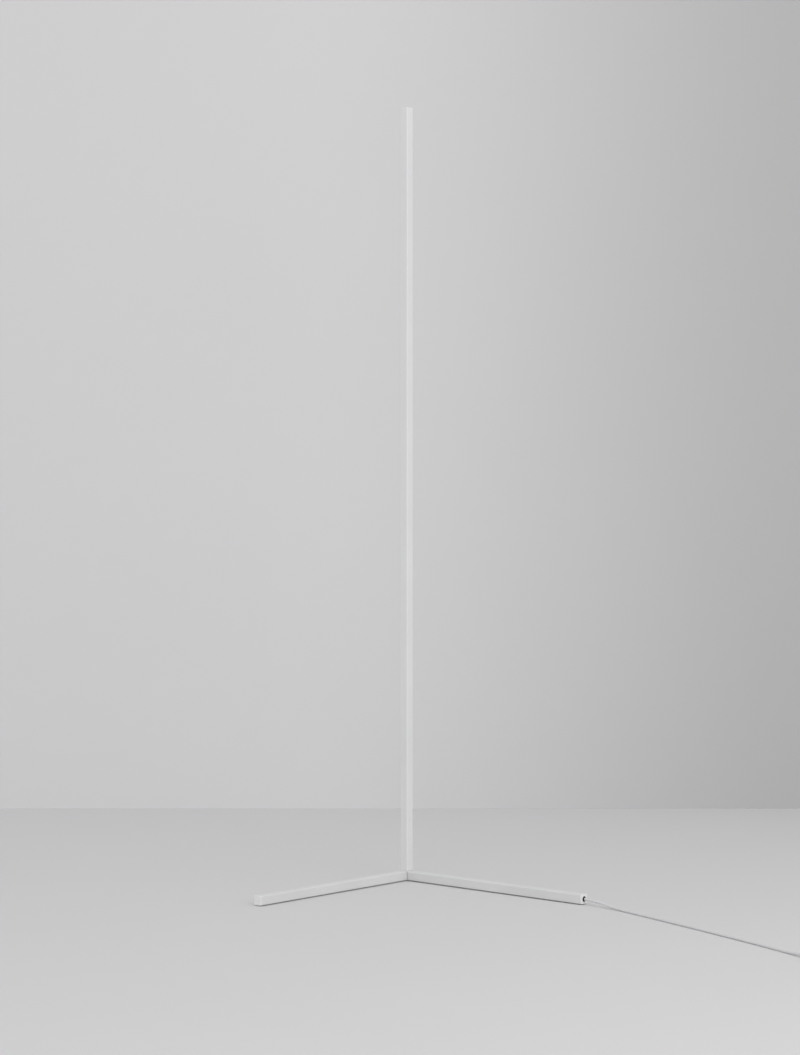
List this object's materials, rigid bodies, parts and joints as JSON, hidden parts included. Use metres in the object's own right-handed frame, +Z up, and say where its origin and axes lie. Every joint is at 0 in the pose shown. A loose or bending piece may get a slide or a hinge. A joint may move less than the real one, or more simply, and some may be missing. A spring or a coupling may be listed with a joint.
{
  "type": "corner floor lamp",
  "caption": "Slender corner floor lamp: square white pole with a hidden light strip at its rear edge, on two floor legs at right angles, with a cord and foot switch.",
  "frame": {"origin": "on the floor, on the axis of the pole", "axes": "+Z up along the pole, +X along the right leg, -Y along the left leg; the room's corner is on the -X and +Y sides, which the light faces"},
  "size_m": [1.3902, 0.468, 1.68],
  "materials": {
    "pole_paint": "fine satin powder coat on extruded aluminium",
    "leg_paint": "fine satin powder coat on square aluminium tube",
    "cap_plastic": "moulded satin white plastic",
    "diffuser_opal": "opal extruded plastic",
    "board_laminate": "white solder mask on a stiff strip",
    "chip_phosphor": "yellow phosphor in a small white case",
    "core_aluminium": "sawn extruded bar, mill finish",
    "bolt_zinc": "zinc plated",
    "small_screw_steel": "plain steel, rolled threads left out",
    "ballast_steel": "drawn bar, oiled",
    "driver_case": "white plastic case",
    "lead_insulation": "thin insulated leads",
    "mains_insulation": "insulated cores of the cord",
    "clamp_nylon": "natural nylon",
    "foot_rubber": "pale soft rubber",
    "cord_pvc": "smooth white sheath",
    "switch_plastic": "moulded white plastic, lightly grained",
    "sleeve_pvc": "soft white bend relief",
    "button_plastic": "moulded white plastic",
    "unit_plastic": "black switch unit",
    "plug_pvc": "moulded white plug",
    "pin_brass": "nickel plated brass"
  },
  "bodies": {
    "lamp": {"pole_profile": "pole_paint", "right_leg_profile": "leg_paint", "left_leg_profile": "leg_paint", "pole_top_cap": "cap_plastic", "pole_bottom_plug": "cap_plastic", "right_leg_end_cap": "cap_plastic", "left_leg_end_cap": "cap_plastic", "pole_diffuser": "diffuser_opal", "led_board": "board_laminate", "led_chips": "chip_phosphor", "corner_core": "core_aluminium", "right_leg_spigot": "core_aluminium", "left_leg_spigot": "core_aluminium", "right_leg_bolt": "bolt_zinc", "left_leg_bolt": "bolt_zinc", "underside_screws": "bolt_zinc", "cord_clamp_screws": "small_screw_steel", "switch_screws": "small_screw_steel", "right_leg_ballast": "ballast_steel", "left_leg_ballast": "ballast_steel", "led_driver": "driver_case", "light_leads": "lead_insulation", "mains_leads": "mains_insulation", "switch_leads": "mains_insulation", "cord_clamp_base": "clamp_nylon", "cord_clamp_bar": "clamp_nylon", "switch_cord_grips": "clamp_nylon", "corner_foot": "foot_rubber", "right_inner_foot": "foot_rubber", "right_outer_foot": "foot_rubber", "left_inner_foot": "foot_rubber", "left_outer_foot": "foot_rubber", "cord_inner_end": "cord_pvc", "cord_run": "cord_pvc", "cord_link": "cord_pvc", "cord_coil": "cord_pvc", "cord_tail": "cord_pvc", "switch_base": "switch_plastic", "switch_cover": "switch_plastic", "switch_sleeves": "sleeve_pvc", "switch_unit": "unit_plastic", "plug_body": "plug_pvc", "plug_pins": "pin_brass"},
    "button": {"switch_button": "button_plastic"}
  },
  "joints": [
    {"name": "switch_press", "type": "slide", "parent": "lamp", "child": "button", "axis": [0, 0, -1], "range_m": [0, 0.0025], "stiffness_N_per_m": 800, "springref_m": -0.001}
  ]
}
